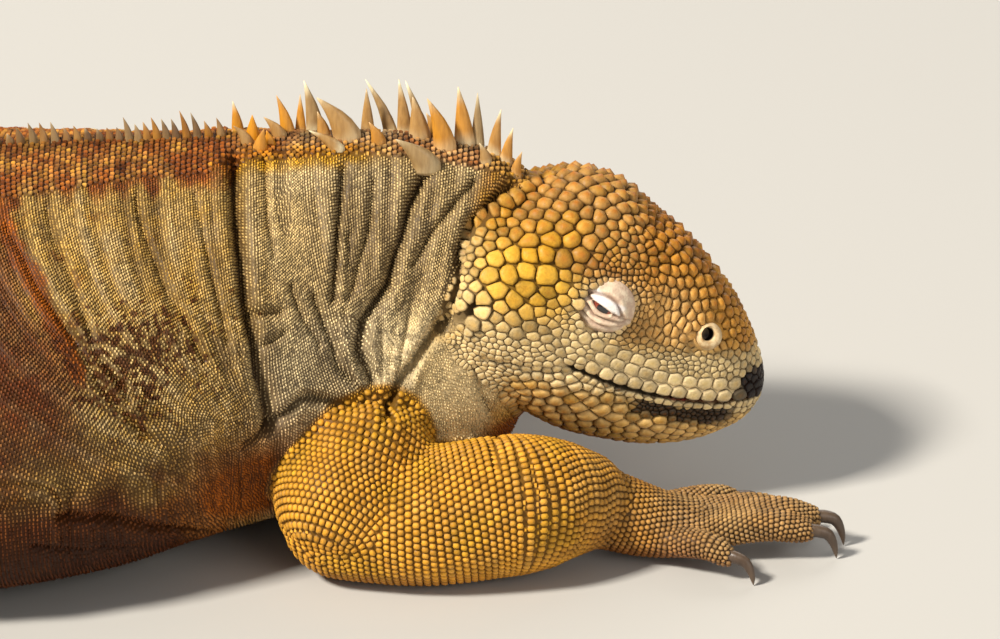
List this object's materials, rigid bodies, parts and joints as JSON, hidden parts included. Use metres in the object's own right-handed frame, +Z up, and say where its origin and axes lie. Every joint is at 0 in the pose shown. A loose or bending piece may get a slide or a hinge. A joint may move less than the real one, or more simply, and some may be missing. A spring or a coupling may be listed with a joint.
{
  "type": "land iguana model",
  "caption": "Life-size still model of a land iguana lying flat on its belly with its head low, its legs bent, a crest of spines and a long curving tail.",
  "frame": {"origin": "on the ground plane under the middle of the trunk, on the flat of the belly", "axes": "+X forward along the trunk to the snout, +Y to the animal's left, +Z up"},
  "size_m": [1.0712, 0.4291, 0.1494],
  "materials": {
    "head_scales": "satin horny plates, yellow with tan and orange",
    "body_scales": "matte fine beaded scales, straw and rust brown",
    "tail_scales": "matte ringed scales, dark brown",
    "limb_scales": "satin scales, yellow orange with brown seams",
    "eye": "wet gloss"
  },
  "bodies": {
    "root": {"head": "head_scales", "eye_right": "eye", "eye_left": "eye", "neck": "body_scales", "torso": "body_scales", "tail_base": "tail_scales", "tail_middle": "tail_scales", "tail_tip": "tail_scales", "upper_arm_right": "limb_scales", "forearm_right": "limb_scales", "hand_right": "limb_scales", "upper_arm_left": "limb_scales", "forearm_left": "limb_scales", "hand_left": "limb_scales", "thigh_right": "limb_scales", "shank_right": "limb_scales", "foot_right": "limb_scales", "thigh_left": "limb_scales", "shank_left": "limb_scales", "foot_left": "limb_scales"}
  },
  "joints": []
}
